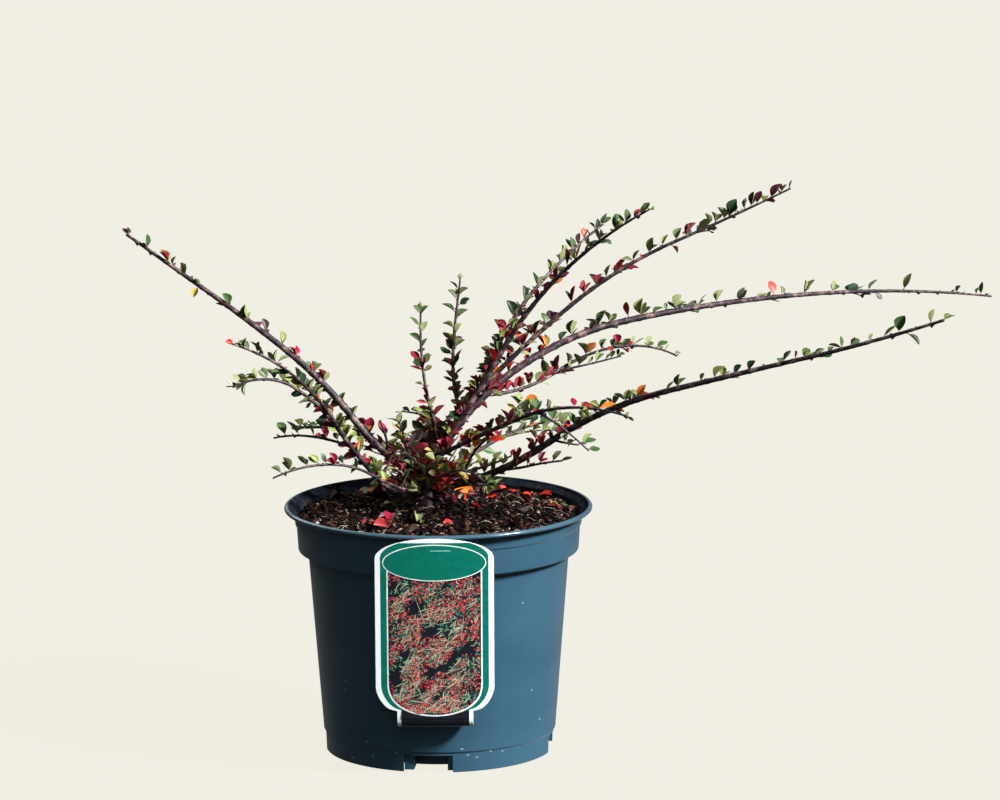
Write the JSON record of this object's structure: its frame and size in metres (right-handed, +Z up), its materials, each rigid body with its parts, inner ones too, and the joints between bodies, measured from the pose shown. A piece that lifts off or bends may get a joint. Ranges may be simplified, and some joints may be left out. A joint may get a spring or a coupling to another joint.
{
  "type": "potted wall cotoneaster",
  "caption": "Young wall cotoneaster shrub in a round nursery pot: short trunk, long arching leafy shoots to both sides, soil and a hanging plant label.",
  "frame": {"origin": "on the ground under the middle of the whole plant's footprint", "axes": "+Z up; +X towards the longest shoots, which is to the right in the picture; +Y away from the camera"},
  "size_m": [0.5017, 0.2541, 0.3148],
  "materials": {
    "pot_plastic": "dark blue-grey moulded plastic, satin",
    "peat": "dark crumbly potting peat with bark bits",
    "label_card": "thin glossy green plastic with a white edge",
    "bark": "thin purple-brown bark, slightly glossy on young wood",
    "green_leaves": "small glossy leaves, mostly green",
    "red_leaves": "small glossy leaves turned red for autumn"
  },
  "bodies": {
    "root": {"pot": "pot_plastic", "soil": "peat", "label": "label_card", "trunk": "bark", "bough_left_long": "bark", "leaves_left_long": "green_leaves", "bough_left_low": "bark", "leaves_left_low": "red_leaves", "bough_left_upper": "bark", "leaves_left_upper": "green_leaves", "bough_left_twig": "bark", "leaves_left_twig": "green_leaves", "bough_left_hanging": "bark", "leaves_left_hanging": "red_leaves", "bough_left_sprig": "bark", "leaves_left_sprig": "red_leaves", "bough_right_long": "bark", "leaves_right_long": "green_leaves", "bough_right_upper": "bark", "leaves_right_upper": "green_leaves", "bough_right_top": "bark", "leaves_right_top": "green_leaves", "bough_right_high": "bark", "leaves_right_high": "green_leaves", "bough_right_middle": "bark", "leaves_right_middle": "red_leaves", "bough_right_low": "bark", "leaves_right_low": "green_leaves", "bough_right_inner": "bark", "leaves_right_inner": "red_leaves", "bough_right_thin": "bark", "leaves_right_thin": "red_leaves", "bough_right_short": "bark", "leaves_right_short": "green_leaves", "bough_front_arch": "bark", "leaves_front_arch": "green_leaves", "bough_front_right": "bark", "leaves_front_right": "red_leaves", "bough_front_left": "bark", "leaves_front_left": "green_leaves", "bough_front_low": "bark", "leaves_front_low": "red_leaves", "bough_back_right": "bark", "leaves_back_right": "green_leaves", "bough_back_left": "bark", "leaves_back_left": "green_leaves", "bough_back_low": "bark", "leaves_back_low": "green_leaves", "bough_back_low_left": "bark", "leaves_back_low_left": "red_leaves", "bough_back_low_right": "bark", "leaves_back_low_right": "red_leaves"}
  },
  "joints": []
}
